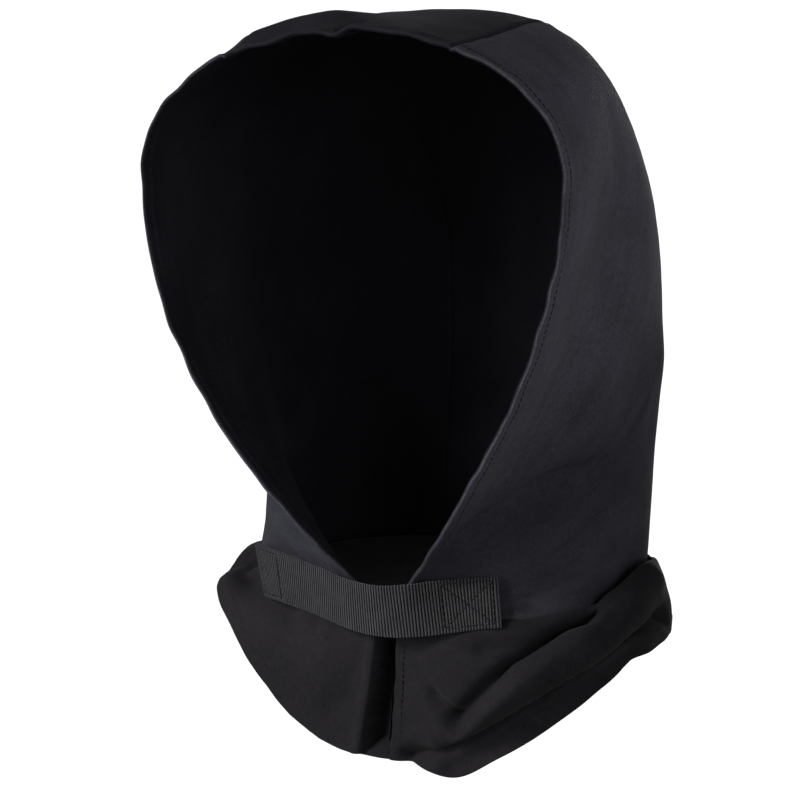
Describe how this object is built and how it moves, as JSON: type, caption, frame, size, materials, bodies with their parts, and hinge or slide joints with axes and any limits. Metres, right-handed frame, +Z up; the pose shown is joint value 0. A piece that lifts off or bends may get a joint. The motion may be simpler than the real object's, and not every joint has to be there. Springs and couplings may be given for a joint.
{
  "type": "sun protection balaclava",
  "caption": "Black woven cloth hood with a large face opening, a crown gusset between side panels, a folded neck bib with a front pleat, and a slack webbing strap across the throat.",
  "frame": {"origin": "the crown point on the inside of the hood, where the top of a head meets the cloth", "axes": "+Z up, -Y out of the face opening, +X to the wearer's left"},
  "size_m": [0.2329, 0.2154, 0.3579],
  "materials": {
    "hood_cloth": "stiff plain-woven black cloth with a slight blue cast",
    "bib_cloth": "softer black cloth with a slight brown cast",
    "webbing": "ribbed black webbing with a dull shine"
  },
  "bodies": {
    "root": {"hood_crown": "hood_cloth", "hood_side_left": "hood_cloth", "hood_side_right": "hood_cloth", "neck_bib": "bib_cloth", "throat_strap": "webbing"}
  },
  "joints": []
}
